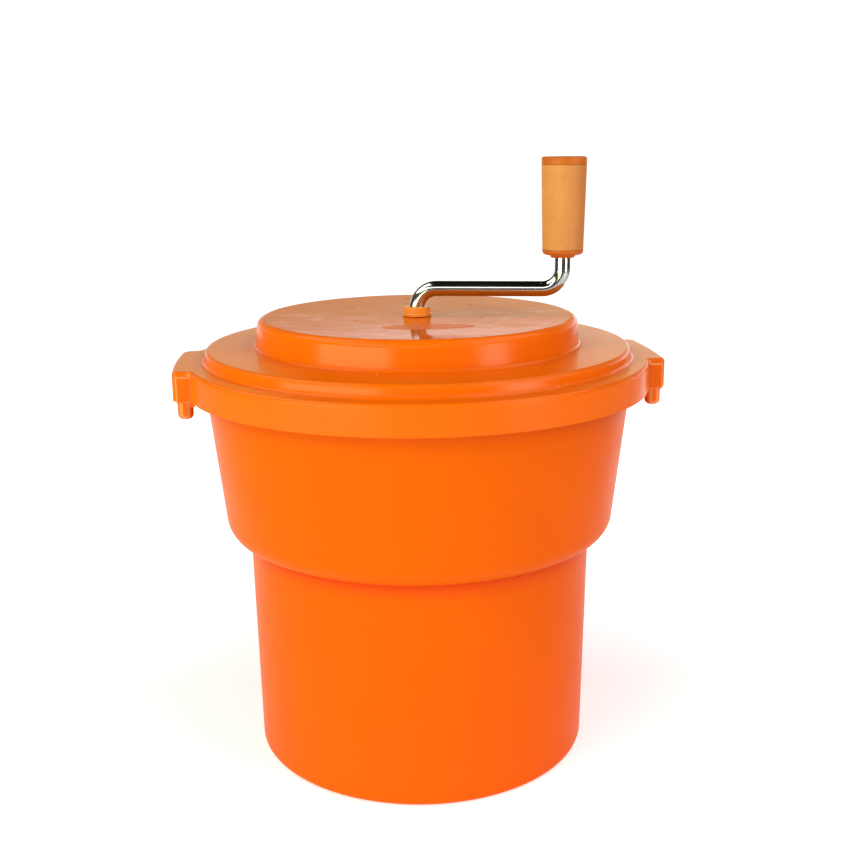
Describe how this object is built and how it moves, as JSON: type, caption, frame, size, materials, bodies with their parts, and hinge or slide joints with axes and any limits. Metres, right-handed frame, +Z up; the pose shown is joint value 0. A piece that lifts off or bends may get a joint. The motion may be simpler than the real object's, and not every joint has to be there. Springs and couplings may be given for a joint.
{
  "type": "salad spinner",
  "caption": "Large hand-cranked salad spinner: stepped round tub, lid with crank and gear train, and a slotted basket that spins on a central pivot.",
  "frame": {"origin": "centre of the tub's standing ring, on the floor, on the spin axis", "axes": "+Z up along the spin axis, +X through the lid's right ear, +Y away from the user"},
  "size_m": [0.42, 0.4, 0.5214],
  "materials": {
    "tub": "orange moulded plastic, glossy",
    "lid": "orange moulded plastic, polished",
    "collar": "orange moulded plastic",
    "caps": "orange moulded plastic, satin",
    "grip": "tan sleeve, fine grain, matte",
    "rod": "polished stainless rod",
    "steel": "turned stainless steel",
    "rubber": "black sealing rubber",
    "bearing": "dark grey bearing plastic",
    "basket": "off-white moulded plastic, satin",
    "gears": "natural white gear plastic",
    "inner_plastic": "off-white moulded plastic, satin",
    "core": "dark bearing tube"
  },
  "bodies": {
    "tub": {"tub": "tub", "pivot_pin": "steel", "pivot_washer": "rubber", "pivot_nut": "steel"},
    "lid": {"lid": "lid", "crank_bush": "bearing", "idler_shaft": "steel", "idler_washers": "bearing", "gear_cover": "inner_plastic", "cover_screws": "steel", "output_bush": "bearing"},
    "crank": {"crank_rod": "rod", "crank_collar": "collar", "crank_gear": "gears", "crank_pin": "steel", "grip_washer": "steel", "grip_clip": "steel"},
    "grip": {"grip_core": "core", "grip_sleeve": "grip", "grip_top_cap": "caps", "grip_bottom_cap": "caps"},
    "idler": {"idler_pinion": "gears", "idler_gear": "gears"},
    "driver": {"output_pinion": "gears", "drive_plate": "inner_plastic", "drive_washer": "steel", "drive_screw": "steel"},
    "pivot_sleeve": {"pivot_bush": "bearing"},
    "basket": {"basket": "basket"}
  },
  "joints": [
    {"name": "lid_lift", "type": "slide", "parent": "tub", "child": "lid", "axis": [0, 0, 1], "range_m": [0, 0.75]},
    {"name": "basket_lift", "type": "slide", "parent": "tub", "child": "pivot_sleeve", "axis": [0, 0, 1], "range_m": [0, 0.375]},
    {"name": "basket_spin", "type": "hinge", "parent": "pivot_sleeve", "child": "basket", "pos_m": [0, 0, 0.1], "axis": [0, 0, 1], "continuous": true},
    {"name": "crank_spin", "type": "hinge", "parent": "lid", "child": "crank", "pos_m": [0, 0, 0.38], "axis": [0, 0, 1], "continuous": true},
    {"name": "idler_spin", "type": "hinge", "parent": "lid", "child": "idler", "pos_m": [0, 0.036, 0.36], "axis": [0, 0, 1], "continuous": true},
    {"name": "driver_spin", "type": "hinge", "parent": "lid", "child": "driver", "pos_m": [0, 0, 0.34], "axis": [0, 0, 1], "continuous": true},
    {"name": "grip_spin", "type": "hinge", "parent": "crank", "child": "grip", "pos_m": [0.12221, -0.02531, 0.48], "axis": [0, 0, 1], "continuous": true}
  ],
  "couplings": [
    {"joint": "basket_lift", "follows": "lid_lift", "ratio": 0.5},
    {"joint": "crank_spin", "follows": "basket_spin", "ratio": 0.25},
    {"joint": "idler_spin", "follows": "basket_spin", "ratio": -0.5},
    {"joint": "driver_spin", "follows": "basket_spin", "ratio": 1}
  ]
}
